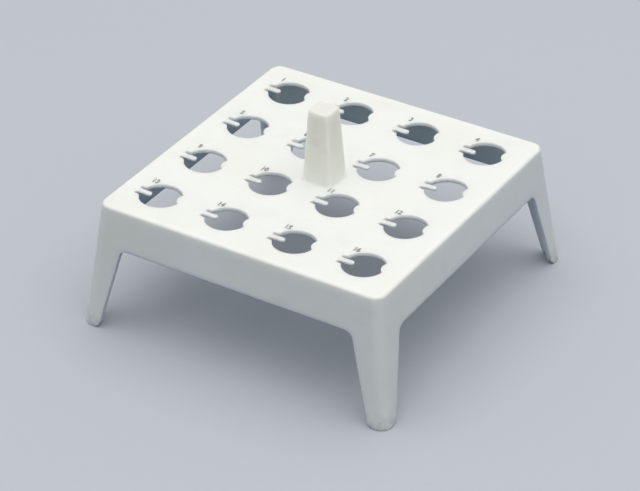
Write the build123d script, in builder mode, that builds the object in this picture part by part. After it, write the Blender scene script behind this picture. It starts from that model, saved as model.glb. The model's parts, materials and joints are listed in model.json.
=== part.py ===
from build123d import *
from math import cos, radians, sin, tan
import os

# Tube rack for sixteen microcentrifuge tubes, moulded in one piece: a square plate
# with the tube holes, a skirt round it, four legs that carry on down from the
# corners of the skirt, and a tapered post in the middle to lift it by.
# Sizes are in millimetres and degrees.  The floor is z = 0, the middle of the plate
# is over the origin, and the finger in each hole points along +X.

# ---- plate, skirt and legs ----
top_side = 86.0             # square top, measured to where its edges would meet
standing_height = 36.9      # floor to the rim of the plate
skirt_depth = 11.6          # rim of the plate to the lower edge of the skirt
wall_draft = 7.0            # lean of the walls and legs, which spread going down
wall = 1.5                  # thickness of the skirt and legs
plate = 1.3                 # thickness of the perforated top
sag = 0.88                  # how far the middle of the plate has sunk
rim_width = 1.6             # level rim round the sunken part
rim_step = 0.02             # the sunken form starts this much above the rim, to meet it cleanly
corner_radius = 3.2         # upright corners
top_edge_radius = 0.8       # round the top of the plate
leg_width_at_skirt = 9.0    # from the corner to the free edge of a leg, at the skirt
leg_width_at_foot = 5.3     # the same at the floor
arch_radius = 2.8           # where a leg runs into the skirt
foot_radius = 2.2           # free lower corner of each leg blade

# ---- tube holes ----
places_per_side = 4
pitch = 20.8
hole_diameter = 11.6
finger_width = 1.5
finger_thickness = 0.75     # thinner than the plate, so that it bends
finger_offset = -0.4        # the finger runs a little to one side of the middle
finger_reach = 3.15         # how far its tip reaches in over the hole
slot_width = 1.2            # relief slot on each side of the finger
slot_run = 1.3              # how far a slot runs into the plate past the hole
stop_radius = 3.0           # rounded stop that faces the finger
stop_reach = 1.2            # how far the stop reaches in over the hole
stop_angle = 14.0           # where the stop sits, turned from +X

# ---- lifting post ----
post_height = 21.0          # above the sunken middle of the plate
post_base = 8.7             # square side where it meets the plate
post_tip = 6.3              # square side at its flat end
post_corner_radius = 0.8
post_tip_radius = 0.5
post_root_radius = 0.8
post_wall = 1.4             # the post is cored from below

# ---- worked out from the sizes above ----
spread = tan(radians(wall_draft))
wall_across = wall / cos(radians(wall_draft))
skirt_height = standing_height - skirt_depth
plate_underside = standing_height - plate
half_at_skirt = top_side / 2 + skirt_depth * spread
half_at_floor = top_side / 2 + standing_height * spread
arch_half_top = half_at_skirt - leg_width_at_skirt
arch_half_floor = half_at_floor - leg_width_at_foot
cavity_side = top_side + 2 * plate * spread - 2 * wall_across
cavity_floor_side = cavity_side + 2 * plate_underside * spread
middle_top = standing_height - sag
sag_reach = top_side / 2 - rim_width
post_slope = (post_base - post_tip) / 2 / post_height
post_root_depth = plate / 2
core_root_depth = 2 * plate
core_side = post_base + 2 * core_root_depth * post_slope - 2 * post_wall
core_height = core_root_depth + post_height - post_wall
core_tip = core_side - 2 * core_height * post_slope
hole_cut = sag + 2 * plate
finger_gap = hole_diameter / 2 - finger_reach
slot_reach = hole_diameter / 2 + slot_run
slot_spacing = finger_width + slot_width
finger_length = hole_diameter
relief_length = slot_reach - slot_width / 2
stop_centre = hole_diameter / 2 - stop_reach + stop_radius
stop_x = stop_centre * cos(radians(stop_angle))
stop_y = stop_centre * sin(radians(stop_angle))


def square_taper(lower_side, upper_side, height, mode=Mode.ADD):
    """A square block on its base, with four flat sides that lean in or out evenly."""
    inset = (lower_side - upper_side) / 2
    far = lower_side - inset
    on_base = (Align.CENTER, Align.MIN, Align.CENTER)
    return Wedge(
        lower_side, height, lower_side, inset, inset, far, far, (90, 0, 0), on_base, mode
    )


def sunken_point(x, y):
    """A point of the plate's top, which sinks quickly from the rim, then flattens out."""
    from_side = 1 - abs(x / sag_reach) ** 3
    from_end = 1 - abs(y / sag_reach) ** 3
    return Vector(x, y, standing_height + rim_step - sag * from_side * from_end)


# One tube hole seen from above: a round hole, a springy finger between two slots
# that reaches in from -X, and a small rounded stop opposite, so that a tube is held
# between three places while its cone hangs free.
with BuildSketch() as tube_place:
    Circle(hole_diameter / 2)
    with Locations((-slot_reach / 2, finger_offset)):
        with GridLocations(0, slot_spacing, 1, 2):
            SlotOverall(slot_reach, slot_width)
    with Locations((-finger_gap - finger_length / 2, finger_offset)):
        SlotOverall(finger_length, finger_width, mode=Mode.SUBTRACT)
    with Locations((stop_x, stop_y)):
        Circle(stop_radius, mode=Mode.SUBTRACT)

# The opening between two legs, seen from the side.  It narrows going up, its upper
# corners run round into the skirt, and the strip below the floor rounds the feet.
with BuildSketch() as leg_arch:
    with BuildLine():
        Polyline(
            (-half_at_floor, -foot_radius),
            (-half_at_floor, 0),
            (-arch_half_floor, 0),
            (-arch_half_top, skirt_height),
            (arch_half_top, skirt_height),
            (arch_half_floor, 0),
            (half_at_floor, 0),
            (half_at_floor, -foot_radius),
            close=True,
        )
    make_face()
    fillet(leg_arch.vertices().group_by(Axis.Y)[-1], arch_radius)
    foot_corners = leg_arch.vertices().group_by(Axis.Y)[1].sort_by(Axis.X)[1:-1]
    fillet(foot_corners, foot_radius)

# The shallow space above the sunken plate, level with the rim at its edge.
sag_steps = [sag_reach * step / 8 for step in range(-8, 9)]
sunken_top = Face.make_surface_from_array_of_points(
    [[sunken_point(x, y) for y in sag_steps] for x in sag_steps], tol=0.002
)
with BuildPart() as hollow:
    extrude(sunken_top, amount=2 * plate, dir=(0, 0, 1))

# The space underneath, which keeps the skirt, legs and sunken plate at one thickness.
with BuildPart() as underside:
    square_taper(cavity_floor_side, cavity_side, plate_underside)
    fillet(underside.edges().filter_by(Plane.XY, reverse=True), corner_radius - wall)
    with Locations((0, 0, -plate)):
        add(hollow.part, mode=Mode.SUBTRACT)

# The sixteen pockets under the fingers, each as wide as to the middle of its slots.
with BuildPart() as finger_reliefs:
    with BuildSketch(Plane.XY.offset(middle_top - 2 * plate)):
        with GridLocations(pitch, pitch, places_per_side, places_per_side):
            with Locations((-relief_length / 2, finger_offset)):
                Rectangle(relief_length, slot_spacing)
    extrude(amount=hole_cut)
    with Locations((0, 0, -finger_thickness)):
        add(hollow.part, mode=Mode.SUBTRACT)

# The post by itself, rooted inside the middle of the plate.
with BuildPart() as post:
    with Locations((0, 0, middle_top - post_root_depth)):
        square_taper(
            post_base + 2 * post_root_depth * post_slope,
            post_tip,
            post_height + post_root_depth,
        )
    fillet(post.edges().filter_by(Plane.XY, reverse=True), post_corner_radius)
    fillet(post.faces().sort_by(Axis.Z)[-1].edges(), post_tip_radius)

with BuildPart() as tube_rack:
    # Outside of the plate, skirt and legs, drafted so that it leaves its mould.
    square_taper(2 * half_at_floor, top_side, standing_height)
    fillet(tube_rack.edges().filter_by(Plane.XY, reverse=True), corner_radius)
    fillet(tube_rack.faces().sort_by(Axis.Z)[-1].edges(), top_edge_radius)

    # Sink the plate, and blend the post into it at its root.
    add(hollow.part, mode=Mode.SUBTRACT)
    add(post.part)
    plate_top = tube_rack.faces().filter_by(GeomType.BSPLINE).sort_by(SortBy.AREA)[-1]
    fillet(plate_top.inner_wires()[0].edges(), post_root_radius)

    # Hollow it from below, up into the post as well.
    add(underside.part, mode=Mode.SUBTRACT)
    with Locations((0, 0, middle_top - core_root_depth)):
        square_taper(core_side, core_tip, core_height, mode=Mode.SUBTRACT)

    # Open the sides between the legs, front to back and then side to side.
    for side in (Plane.XZ, Plane.YZ):
        with BuildSketch(side):
            add(leg_arch.sketch)
        extrude(amount=half_at_floor, both=True, mode=Mode.SUBTRACT)

    # Sixteen places for tubes.
    with BuildSketch(Plane.XY.offset(standing_height)):
        with GridLocations(pitch, pitch, places_per_side, places_per_side):
            add(tube_place.sketch)
    extrude(amount=-hole_cut, mode=Mode.SUBTRACT)
    add(finger_reliefs.part, mode=Mode.SUBTRACT)

tube_rack.part.label = "tube_rack"
os.makedirs("parts", exist_ok=True)
export_step(tube_rack.part, "parts/tube_rack.step")
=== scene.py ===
# %% [markdown]
# # Finishing a microcentrifuge tube rack in Blender
#
# The rack is one white polypropylene moulding that is pushed into crushed ice. It has a
# plate with sixteen tube holes, a skirt, four splayed legs and a post to lift it by.
# Its shape was drawn as a solid already, so this lesson starts from that solid. It softens
# the edges as a mould does, adds the moulded place numbers, and builds the plastic itself
# out of shader nodes. Blender works in metres, so small sizes are written as so many MM.

# %% Load the finished solid
import json
from math import cos, degrees, radians, sin

import bmesh
import bpy
from mathutils import Matrix, Vector
from mathutils.bvhtree import BVHTree


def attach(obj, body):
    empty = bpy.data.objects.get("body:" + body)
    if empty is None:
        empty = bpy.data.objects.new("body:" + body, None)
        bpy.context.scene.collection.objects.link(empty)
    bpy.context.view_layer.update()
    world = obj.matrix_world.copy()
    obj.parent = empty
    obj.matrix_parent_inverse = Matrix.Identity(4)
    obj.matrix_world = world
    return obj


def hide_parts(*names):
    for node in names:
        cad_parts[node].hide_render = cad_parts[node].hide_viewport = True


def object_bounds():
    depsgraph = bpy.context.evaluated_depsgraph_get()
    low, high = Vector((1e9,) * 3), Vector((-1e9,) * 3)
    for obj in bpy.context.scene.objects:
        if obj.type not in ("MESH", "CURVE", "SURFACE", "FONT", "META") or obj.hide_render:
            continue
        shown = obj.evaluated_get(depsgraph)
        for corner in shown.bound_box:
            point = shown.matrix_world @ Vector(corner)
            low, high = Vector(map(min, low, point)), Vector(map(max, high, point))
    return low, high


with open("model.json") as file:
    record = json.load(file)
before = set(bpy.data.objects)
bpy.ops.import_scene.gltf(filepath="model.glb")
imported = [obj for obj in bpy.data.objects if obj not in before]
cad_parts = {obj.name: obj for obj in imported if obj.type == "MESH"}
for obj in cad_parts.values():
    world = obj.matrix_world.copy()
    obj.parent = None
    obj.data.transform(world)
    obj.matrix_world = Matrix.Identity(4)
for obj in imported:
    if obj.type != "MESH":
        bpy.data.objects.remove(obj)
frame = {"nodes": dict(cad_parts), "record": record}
solid = frame["nodes"]["tube_rack"]
solid_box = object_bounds()

MM = 0.001
print("solid box, mm:", [[round(c / MM, 2) for c in corner] for corner in solid_box])

# %% [markdown]
# ## Where things are on the rack
#
# Everything that is added later has to sit on the plate, next to the right hole. The record
# that came with the solid names each opening and gives a box inside it, so the places can be
# read from there instead of being typed in twice. Each box starts 2.5 mm to the left of the
# middle of its hole, because a springy finger takes up the rest of that side.

# %% Find the plate and the sixteen places
FINGER_SIDE = 2.5 * MM

record = frame["record"]
mounts = {mount["name"]: mount for mount in record["mounts"]}
plate_top = mounts["tube_holes"]["pos_m"][2]
places = []
for opening in record["physics"]["openings"]:
    if opening["name"].startswith("tube_hole_"):
        low, high = opening["box_m"]
        number = int(opening["name"].rsplit("_", 1)[1])
        places.append((number, low[0] + FINGER_SIDE, (low[1] + high[1]) / 2))
places.sort()
PITCH = places[1][1] - places[0][1]
print("plate top at", round(plate_top / MM, 2), "mm, with", len(places), "places")
print("places are", round(PITCH / MM, 2), "mm apart")

# %% [markdown]
# ## The camera
#
# A long lens from well back keeps the sides of the rack nearly parallel, as in a catalogue
# picture. The camera is turned about the middle of the plate, and then slid a little
# without turning, so that the whole rack with its legs is in the frame. Shifting the lens
# would do that too, but other views reuse this camera and would be off centre.

# %% Place the camera
TURN = radians(32.502)
RAISE = radians(33.503)
TILT = radians(-0.70)
DISTANCE = 718.7 * MM
SLIDE_RIGHT = -1.206 * MM
SLIDE_UP = -19.063 * MM
LENS = 152.307  # focal length in mm, for a sensor 36 mm wide

level_right = Vector((cos(TURN), sin(TURN), 0))
back = Vector((sin(TURN) * cos(RAISE), -cos(TURN) * cos(RAISE), sin(RAISE)))
right = Matrix.Rotation(TILT, 3, back) @ level_right
up = back.cross(right)

camera_data = bpy.data.cameras.new("catalogue_camera")
camera_data.lens = LENS
camera_data.sensor_width = 36
camera_data.clip_start = 0.05
camera_data.clip_end = 20
camera = bpy.data.objects.new("catalogue_camera", camera_data)
bpy.context.scene.collection.objects.link(camera)
bpy.context.scene.camera = camera

axes = Matrix((right, up, back)).transposed()
middle = Vector((0, 0, plate_top))
eye = middle + back * DISTANCE + right * SLIDE_RIGHT + up * SLIDE_UP
camera.matrix_world = Matrix.Translation(eye) @ axes.to_4x4()
print("camera at", [round(c, 3) for c in eye], "m, raised", round(degrees(RAISE), 1), "degrees")

# %% [markdown]
# ## The moulding
#
# On the real rack this is the whole thing: one shot of plastic, with no seam or screw.
# The solid has knife-sharp rims, but a mould is cut with round tools and its edges wear, so
# every edge of a moulding is a little soft and catches a thin line of light. The same
# could be faked in the shader, but real bevels also show in the outline and in the mesh
# itself. The solid arrives as loose triangles, so a copy is welded and its flat faces are
# made whole again first, and the bevel then meets only edges that the rack really has.

# %% Weld a copy of the solid and make its flat faces whole
SAME_POINT = 0.002 * MM
SAME_PLANE = radians(0.2)


def weld(shape):
    """Close a bmesh of loose faces, and leave whole faces where it is flat."""
    bmesh.ops.remove_doubles(shape, verts=shape.verts[:], dist=SAME_POINT)
    bmesh.ops.dissolve_limit(
        shape,
        angle_limit=SAME_PLANE,
        use_dissolve_boundaries=False,
        verts=shape.verts[:],
        edges=shape.edges[:],
    )


moulding = bmesh.new()
moulding.from_mesh(solid.data)
weld(moulding)
open_edges = [edge for edge in moulding.edges if not edge.is_manifold]
print("welded:", len(moulding.faces), "faces,", len(open_edges), "open edges")

# %% Soften every sharp edge
SHARP = radians(28)  # flatter bends than this belong to curved faces
EDGE_SOFTNESS = 0.16 * MM

sharp_edges = [edge for edge in moulding.edges if edge.calc_face_angle(0) > SHARP]
bmesh.ops.bevel(
    moulding,
    geom=sharp_edges,
    offset=EDGE_SOFTNESS,
    offset_type="OFFSET",
    affect="EDGES",
    segments=2,
    profile=0.5,
    material=-1,
    clamp_overlap=False,
    loop_slide=False,
)
print("softened", len(sharp_edges), "edges, now", len(moulding.faces), "faces")

# %% Make it the piece that stands for the solid
def finished_piece(shape, name):
    """Put a bmesh into the scene as a smooth piece that rides with the rack."""
    mesh = bpy.data.meshes.new(name)
    shape.to_mesh(mesh)
    shape.free()
    mesh.polygons.foreach_set("use_smooth", [True] * len(mesh.polygons))
    piece = bpy.data.objects.new(name, mesh)
    bpy.context.scene.collection.objects.link(piece)
    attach(piece, "root")
    return piece


rack = finished_piece(moulding, "rack_moulding")
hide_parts("tube_rack")
print("rack_moulding has", len(rack.data.vertices), "points")

# %% [markdown]
# ## Flats that stay flat
#
# The moulding is shaded smooth so that its bevels and corners look round, but that also
# bends the light across a flat face from its edges. The flats could be marked with sharp
# edges, which would spoil the bevels. Weighting the normals by area lets the large faces
# win instead, so only the bevels look round.

# %% Weight the normals
flats = rack.modifiers.new("flats_stay_flat", "WEIGHTED_NORMAL")
flats.mode = "FACE_AREA"
print("normals weighted by", flats.mode)

# %% [markdown]
# ## The place numbers
#
# Each place has a small number beside it, behind the root of the finger, so that a tube
# can be found again. On a moulding the numbers are engraved in the mould and stand proud of
# the plate by a fraction of a millimetre, and rubbing turns their tops grey. They could be
# painted in the shader, but text that is made into a mesh stays crisp at any distance.
# The plate has sunk a little towards its middle, so each number asks for its own height.

# %% Find the height of the plate anywhere
WELL_ABOVE = 10 * MM

plate_surface = BVHTree.FromPolygons(
    [point.co for point in rack.data.vertices], [face.vertices for face in rack.data.polygons]
)


def height_of_plate(x, y):
    """How high the sunken plate is at a point, found by looking straight down at it."""
    from_above = Vector((x, y, plate_top + WELL_ABOVE))
    return plate_surface.ray_cast(from_above, Vector((0, 0, -1)))[0].z


near_post = height_of_plate(PITCH / 2, 0)
print("the plate has sunk", round((plate_top - near_post) / MM, 2), "mm beside the post")

# %% Make one number
NUMBER_HEIGHT = 1.8 * MM
NUMBER_NARROWED = 0.82
NUMBER_PROUD = 0.15 * MM
DIGIT_SHARE = 0.7  # how tall a digit is in Blender's own font, as a share of the text size


def raised_number(number, x, y):
    """A number as a mesh, centred on a point of the plate and standing a little proud."""
    text = bpy.data.curves.new("place_text", "FONT")
    text.body = str(number)
    text.size = NUMBER_HEIGHT / DIGIT_SHARE
    text.align_x = "CENTER"
    text.align_y = "CENTER"
    text.extrude = NUMBER_PROUD
    text.resolution_u = 4
    holder = bpy.data.objects.new("place_text", text)
    mesh = bpy.data.meshes.new_from_object(holder)
    bpy.data.objects.remove(holder)
    bpy.data.curves.remove(text)
    narrowed = Matrix.Diagonal((NUMBER_NARROWED, 1, 1, 1))
    mesh.transform(Matrix.Translation((x, y, height_of_plate(x, y))) @ narrowed)
    return mesh


print("numbers are", NUMBER_HEIGHT / MM, "mm tall and", NUMBER_PROUD / MM, "mm proud")

# %% Put one beside each hole
BESIDE_HOLE = Vector((-5.15 * MM, 5.15 * MM))

numbers = bmesh.new()
from_hole = []
for number, x, y in places:
    mesh = raised_number(number, x + BESIDE_HOLE.x, y + BESIDE_HOLE.y)
    from_hole += [(point.co.xy - Vector((x, y))).length for point in mesh.vertices]
    numbers.from_mesh(mesh)
    bpy.data.meshes.remove(mesh)
print("the nearest stroke is", round(min(from_hole) / MM, 2), "mm from the middle of its hole")

# %% [markdown]
# ## Cleaning up text
#
# Text arrives as loose parts: a front, a back and the walls between them. The text tool
# fills a front with thin triangles, and a few in the 4 have no area at all, which would
# leave faulty faces in the finished mesh. They could be deleted, but that leaves holes.
# Turning the edges inside the flat faces trades them for better triangles, and then the
# same weld as before closes each digit.

# %% Close the digits and make them one piece
LEVEL = 0.001 * MM
CORNER = radians(40)

inside_flats = [
    edge
    for edge in numbers.edges
    if edge.is_manifold and abs(edge.verts[0].co.z - edge.verts[1].co.z) < LEVEL
]
bmesh.ops.beautify_fill(numbers, faces=numbers.faces[:], edges=inside_flats, method="AREA")
weld(numbers)
place_numbers = finished_piece(numbers, "place_numbers")
place_numbers.data.set_sharp_from_angle(angle=CORNER)
print("place_numbers has", len(place_numbers.data.polygons), "faces")

# %% [markdown]
# ## Writing shader maths as Python
#
# A material is a tree of nodes, and a long one is hard to read as a list of links. This
# small class holds one socket, and Python's own + - and * add the Math nodes for it. Any
# other node comes from its one method: settings first, since they decide which sockets
# exist, and then a value or a link for each socket.

# %% A socket that can be added, subtracted and multiplied
class Signal:
    """A value that changes over a surface: one output socket of a node tree."""

    def __init__(self, tree, socket=None):
        self.tree = tree
        self.socket = socket

    def node(self, kind, settings, sockets, output=None):
        """Add a node of any kind, and return the output that is named, or the first."""
        made = self.tree.nodes.new("ShaderNode" + kind)
        for name, value in settings.items():
            setattr(made, name, value)
        for key, value in sockets.items():
            named = [s for s in made.inputs if s.enabled and s.name == key]
            socket = made.inputs[key] if isinstance(key, int) else named[0]
            if isinstance(value, Signal):
                self.tree.links.new(value.socket, socket)
            else:
                socket.default_value = value
        ways_out = [s for s in made.outputs if s.enabled]
        named = [s for s in ways_out if s.name == output]
        return Signal(self.tree, (named + ways_out + [None])[0])

    def maths(self, operation, *terms):
        """Add a Math node."""
        return self.node("Math", {"operation": operation}, dict(enumerate(terms)))

    def __add__(self, other):
        return self.maths("ADD", self, other)

    def __sub__(self, other):
        return self.maths("SUBTRACT", self, other)

    def __rsub__(self, other):
        return self.maths("SUBTRACT", other, self)

    def __mul__(self, other):
        return self.maths("MULTIPLY", self, other)

    __radd__ = __add__
    __rmul__ = __mul__


# %% Shorthands for patterns, fades and colours
def speckle(place, size, detail=2.0, roughness=0.5):
    """Soft random patches about as large as size, from 0 to 1."""
    sockets = {"Vector": place, "Scale": 1 / size, "Detail": detail, "Roughness": roughness}
    return place.node("TexNoise", {"noise_dimensions": "3D"}, sockets, "Fac")


def ease(value, start, end):
    """0 before start, 1 after end, and smooth in between."""
    settings = {"interpolation_type": "SMOOTHSTEP"}
    sockets = {"Value": value, "From Min": start, "From Max": end}
    return value.node("MapRange", settings, sockets)


def blend(factor, first, second):
    """A colour that goes from first to second."""
    sockets = {"Factor": factor, "A": first, "B": second}
    return factor.node("Mix", {"data_type": "RGBA"}, sockets)


print("shader helpers: Signal, speckle, ease, blend")

# %% [markdown]
# ## White polypropylene
#
# The plastic is a warm, slightly cloudy white with a satin skin, and light goes a little
# way into it. Up close it has a fine grain from the spark-eroded mould, and a few grey
# specks. A single colour and one roughness would look like paper. Use leaves marks too:
# tubes polish the rims of their holes, ice and racks draw hair-fine scratches, fingers
# leave marks and the feet go grey. The post is painted a lighter cream: partly its own warmer
# tone, and partly painted light that stands in for the light the white plate throws onto it.
# Each of these is a mask from 0 to 1, made first and mixed in at the end, so that one mask
# can change the colour, the roughness and the relief together. All are made from the place
# in space, so they need no unwrapping.

# %% Start and end a material
def new_material(name):
    """An empty material, with the signal that its nodes start from."""
    material = bpy.data.materials.new(name)
    material.use_nodes = True
    material.node_tree.nodes.clear()
    return material, Signal(material.node_tree)


def set_surface(start, sockets):
    """End a material with its shader."""
    shader = start.node("BsdfPrincipled", {}, sockets)
    start.node("OutputMaterial", {}, {"Surface": shader})


plastic, start = new_material("white_polypropylene")
place = start.node("TexCoord", {}, {}, "Object")
height = start.node("SeparateXYZ", {}, {"Vector": place}, "Z")
print("started", plastic.name)

# %% Patterns of the moulding itself
CLOUD_SIZE = 28 * MM
GRAIN_SIZE = 0.35 * MM
SPECK_SIZE = 1.1 * MM
WAVE_SIZE = 7 * MM

cloud = ease(speckle(place, CLOUD_SIZE), 0.35, 0.75)
grain = speckle(place, GRAIN_SIZE, detail=3.0)
specks = ease(speckle(place, SPECK_SIZE, detail=3.0, roughness=0.7), 0.66, 0.74)
waves = speckle(place, WAVE_SIZE, detail=1.0)
print("cloud, grain, specks and waves:", len(plastic.node_tree.nodes), "nodes so far")

# %% [markdown]
# ## Wear, where it happens
#
# Wear convinces only where the rack is touched. The height tells the feet from the plate
# and the post. A tube rubs the rim of its hole, and the holes stand in a square grid, so
# folding x and y at half the pitch gives the distance to the nearest hole in ten nodes,
# where measuring to all sixteen would take thirty. A scratch is a random pattern that is
# combed: stretched a long way in one direction and hardly at all in the other.

# %% The rims of the holes
HOLE_RADIUS = 5.8 * MM
RIM_WIDTH = 1.2 * MM
PATCH_SIZE = 2.2 * MM
BELOW_PLATE = 2.5 * MM
INSIDE_PLATE = 1.5 * MM


def from_nearest_hole(place):
    """How far a point is from the middle of the nearest hole, seen from above."""
    squares = []
    for axis in "XY":
        along = place.node("SeparateXYZ", {}, {"Vector": place}, axis)
        off = PITCH / 2 - along.maths("PINGPONG", along, PITCH / 2)
        squares.append(off * off)
    return place.maths("SQRT", squares[0] + squares[1])


on_plate = ease(height, plate_top - BELOW_PLATE, plate_top - INSIDE_PLATE)
at_rim = 1 - ease(from_nearest_hole(place), HOLE_RADIUS, HOLE_RADIUS + RIM_WIDTH)
patchy = ease(speckle(place, PATCH_SIZE, detail=3.0), 0.35, 0.65)
polished = on_plate * at_rim * patchy
print("polish ends", round((HOLE_RADIUS + RIM_WIDTH) / MM, 1), "mm from the middle of a hole")

# %% Scratches and finger marks
FINGER_MARK_SIZE = 9 * MM


def scratches(place, turn, length, width):
    """Hair-fine streaks that all run one way, from 0 to 1."""
    settings = {"vector_type": "POINT"}
    scale = (1 / length, 1 / width, 1 / length)
    sockets = {"Vector": place, "Rotation": (0, 0, turn), "Scale": scale}
    combed = place.node("Mapping", settings, sockets)
    return ease(speckle(combed, 1.0, detail=2.0, roughness=0.6), 0.63, 0.70)


scratched = scratches(place, radians(25), 14 * MM, 0.5 * MM)
scratched = scratched + scratches(place, radians(-50), 9 * MM, 0.4 * MM)
finger_marks = ease(speckle(place, FINGER_MARK_SIZE, detail=3.0, roughness=0.6), 0.52, 0.72)
print("scratches run two ways:", len(plastic.node_tree.nodes), "nodes so far")

# %% Grey feet
SCUFF_SIZE = 1.6 * MM
SCUFFED_UP_TO = 6 * MM

near_floor = 1 - ease(height, 1 * MM, SCUFFED_UP_TO)
scuffs = ease(speckle(place, SCUFF_SIZE, detail=4.0, roughness=0.6), 0.40, 0.62)
grey_feet = near_floor * scuffs
print("the feet are grey up to", round(SCUFFED_UP_TO / MM, 1), "mm")

# %% A post painted lighter, and a handled tip
post_top = solid_box[1][2]
# The post above the plate, fading in from 1 mm to 8 mm up; it carries the painted light below
on_post = ease(height, plate_top + 1 * MM, plate_top + 8 * MM)
on_tip = ease(height, post_top - 0.5 * MM, post_top - 0.1 * MM)
print("the post is handled up to its tip at", round(post_top / MM, 1), "mm")

# %% [markdown]
# ## Mixing the plastic
#
# The colour drifts between a clean and an aged white. On the post it turns to a lighter
# cream, which is partly a warmer tone and partly painted light from the white plate. Then a
# share of grey is laid over it wherever a mask says that it was used. The roughness
# starts at satin, gets duller with grain, scratches and scuffs, and glossier where it is
# polished. Two bumps give the relief: slow waves, as large flats of a moulding never come
# out quite flat, and over them the grain with the scratches cut in. Subsurface scattering
# spreads light inside the plastic, which lightens the walls of the holes and the post.

# %% Mix the colour
CLOUDINESS = 0.8
CLEAN_WHITE = (0.87, 0.88, 0.815, 1)
AGED_WHITE = (0.85, 0.845, 0.755, 1)
# A lighter, warmer cream for the post: its own warmer tone, with painted light from the plate
POST_CREAM_AND_PAINTED_LIGHT = (0.93, 0.92, 0.79, 1)
SCUFF_GREY = (0.60, 0.60, 0.57, 1)
GREY_SHARE = {
    "specks": 0.16,
    "feet": 0.55,
    "rims": 0.08,
    "scratches": 0.08,
    "fingers": 0.08,
    "tip": 0.45,
}

colour = blend(cloud * CLOUDINESS, CLEAN_WHITE, AGED_WHITE)
# Painted light: the post turns to a lighter cream, standing in for light thrown up by the white
# plate
colour = blend(on_post, colour, POST_CREAM_AND_PAINTED_LIGHT)
used = specks * GREY_SHARE["specks"] + grey_feet * GREY_SHARE["feet"]
used = used + polished * GREY_SHARE["rims"] + scratched * GREY_SHARE["scratches"]
used = used + finger_marks * GREY_SHARE["fingers"] + on_tip * GREY_SHARE["tip"]
colour = blend(used, colour, SCUFF_GREY)
print("colour mixed:", len(plastic.node_tree.nodes), "nodes so far")

# %% Set the gloss
SATIN = 0.42
DULLER = {"cloud": 0.05, "grain": 0.10, "feet": 0.12, "scratches": 0.10}
GLOSSIER = {"rims": 0.14, "fingers": 0.06}

roughness = SATIN + cloud * DULLER["cloud"] + grain * DULLER["grain"]
roughness = roughness + grey_feet * DULLER["feet"] + scratched * DULLER["scratches"]
roughness = roughness - polished * GLOSSIER["rims"] - finger_marks * GLOSSIER["fingers"]
glossiest = SATIN - sum(GLOSSIER.values())
dullest = SATIN + sum(DULLER.values())
print("roughness goes from", round(glossiest, 2), "to", round(dullest, 2))

# %% Set the relief
WAVE_STRENGTH = 0.6
WAVE_DEPTH = 0.10 * MM
GRAIN_STRENGTH = 0.15
GRAIN_DEPTH = 0.05 * MM
SCRATCH_CUT = 0.4

wavy = {"Strength": WAVE_STRENGTH, "Distance": WAVE_DEPTH, "Height": waves}
relief = start.node("Bump", {}, wavy, "Normal")
grainy = {
    "Strength": GRAIN_STRENGTH,
    "Distance": GRAIN_DEPTH,
    "Height": grain - scratched * SCRATCH_CUT,
    "Normal": relief,
}
relief = start.node("Bump", {}, grainy, "Normal")
print("relief, mm: waves", round(WAVE_DEPTH / MM, 2), "and grain", round(GRAIN_DEPTH / MM, 2))

# %% Join them in the shader
PLASTIC_IOR = 1.49
LIGHT_GOES_IN = 2.0 * MM

set_surface(
    start,
    {
        "Base Color": colour,
        "Roughness": roughness,
        "Normal": relief,
        "IOR": PLASTIC_IOR,
        "Subsurface Weight": 1.0,
        "Subsurface Radius": (1.0, 1.0, 1.0),
        "Subsurface Scale": LIGHT_GOES_IN,
    },
)
rack.data.materials.append(plastic)
print("white_polypropylene has", len(plastic.node_tree.nodes), "nodes")

# %% [markdown]
# ## Rubbed number tops
#
# The numbers are the same plastic, but they stand proud where gloves and racks rub, so
# they have picked up grey. They could share the white plastic with one more mask, but a
# material of their own is shorter. The grey is uneven, so a fine pattern breaks it up.

# %% Grey the numbers
NUMBER_GREY = (0.19, 0.19, 0.18, 1)
NUMBER_ROUGHNESS = 0.5
WEAR_SIZE = 0.5 * MM

number_plastic, start = new_material("rubbed_number_plastic")
place = start.node("TexCoord", {}, {}, "Object")
wear = ease(speckle(place, WEAR_SIZE, detail=3.0), 0.35, 0.65)
colour = blend(wear * 0.5, NUMBER_GREY, SCUFF_GREY)
roughness = NUMBER_ROUGHNESS + wear * 0.15
set_surface(start, {"Base Color": colour, "Roughness": roughness, "IOR": PLASTIC_IOR})
place_numbers.data.materials.append(number_plastic)
print("rubbed_number_plastic has", len(number_plastic.node_tree.nodes), "nodes")

# %% [markdown]
# ## Floor and light
#
# A white object needs a floor that is pale but a little darker than it is, or its outline
# is lost. A pale floor also throws a lot of light back up and flattens the skirts, so it
# looks pale only to the camera and in reflections, and lights the rack as a dark blue paper
# would. Far from the rack the floor glows a little instead of being lit, in the colour of
# the sky behind it, so that no horizon shows in low views. A wide soft sky does half of
# the lighting, and one large lamp above does the rest and puts the shadow under the rack.

# %% Lay the floor
FLOOR_REACH = 6.0  # metres from the middle to each side
FLOOR_DROP = 0.02 * MM

floor_shape = bmesh.new()
bmesh.ops.create_grid(floor_shape, x_segments=1, y_segments=1, size=FLOOR_REACH)
floor_mesh = bpy.data.meshes.new("studio_floor")
floor_shape.to_mesh(floor_mesh)
floor_shape.free()
floor_mesh.transform(Matrix.Translation((0, 0, -FLOOR_DROP)))
floor = bpy.data.objects.new("studio_floor", floor_mesh)
bpy.context.scene.collection.objects.link(floor)
print("floor is", round(floor.dimensions.x, 1), "m wide")

# %% Tell seeing from lighting
def rays_that_see(start):
    """1 for the camera's rays and for reflections, 0 for rays that only gather light."""
    seeing = start.node("LightPath", {}, {}, "Is Camera Ray")
    for kind in ("Is Glossy Ray", "Is Transmission Ray"):
        seeing = seeing.maths("MAXIMUM", seeing, start.node("LightPath", {}, {}, kind))
    return seeing


print("seeing rays are camera, glossy and transmission rays")

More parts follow.
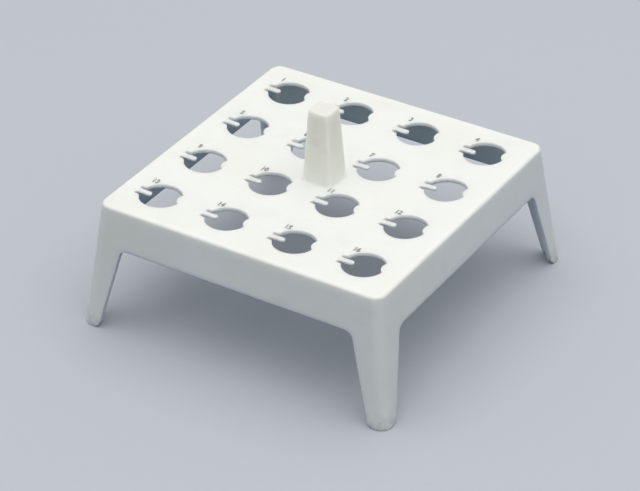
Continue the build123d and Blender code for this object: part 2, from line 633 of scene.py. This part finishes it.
# %% Colour the floor
FLOOR_GREY = (0.50, 0.525, 0.56, 1)
FIBRE_GREY = (0.4925, 0.517125, 0.5516, 1)
FAR_GREY = (0.53, 0.555, 0.59, 1)
FLOOR_BOUNCE = (0.01, 0.075, 0.19, 1)
BLACK = (0, 0, 0, 1)
FIBRE_SIZE = 3 * MM
GLOW_STARTS = 0.2  # metres from the rack
GLOW_IS_FULL = 0.75

floor_paper, start = new_material("pale_floor_paper")
place = start.node("TexCoord", {}, {}, "Object")
fibre = speckle(place, FIBRE_SIZE, detail=4.0)
tone = blend(fibre, FLOOR_GREY, FIBRE_GREY)
seen = rays_that_see(start)
tone = blend(seen, FLOOR_BOUNCE, tone)
distance = place.node("VectorMath", {"operation": "LENGTH"}, {0: place}, "Value")
far = ease(distance, GLOW_STARTS, GLOW_IS_FULL)
set_surface(
    start,
    {
        "Base Color": blend(far, tone, BLACK),
        "Emission Color": blend(far * seen, BLACK, FAR_GREY),
        "Emission Strength": 1.0,
        "Roughness": 0.9,
        "Specular IOR Level": 0.0,
    },
)
floor_mesh.materials.append(floor_paper)
print("pale_floor_paper has", len(floor_paper.node_tree.nodes), "nodes")

# %% Hang the lamp
LAMP_PLACE = Vector((0.08, -0.03, 1.0))
LAMP_SIZE = 1.4
LAMP_POWER = 8.8

lamp_data = bpy.data.lights.new("soft_lamp", "AREA")
lamp_data.shape = "SQUARE"
lamp_data.size = LAMP_SIZE
lamp_data.energy = LAMP_POWER
lamp = bpy.data.objects.new("soft_lamp", lamp_data)
bpy.context.scene.collection.objects.link(lamp)
lamp.location = LAMP_PLACE
lamp.rotation_euler = (-LAMP_PLACE).to_track_quat("-Z", "Y").to_euler()
print("lamp of", LAMP_POWER, "W,", LAMP_SIZE, "m wide")

# %% Set the sky
SKY_WHITE = (0.985, 0.99, 1.0, 1)
SKY_FILL = 0.57
SKY_SEEN = 1.0

sky = bpy.data.worlds.new("studio_sky")
bpy.context.scene.world = sky
sky.use_nodes = True
sky.node_tree.nodes.clear()
start = Signal(sky.node_tree)
seen = rays_that_see(start)
tint = blend(seen, SKY_WHITE, FAR_GREY)
strength = SKY_FILL + seen * (SKY_SEEN - SKY_FILL)
light = start.node("Background", {}, {"Color": tint, "Strength": strength})
start.node("OutputWorld", {}, {"Surface": light})
bpy.context.scene.view_settings.view_transform = "Standard"
print("sky lights at", SKY_FILL, "and is seen at", SKY_SEEN)
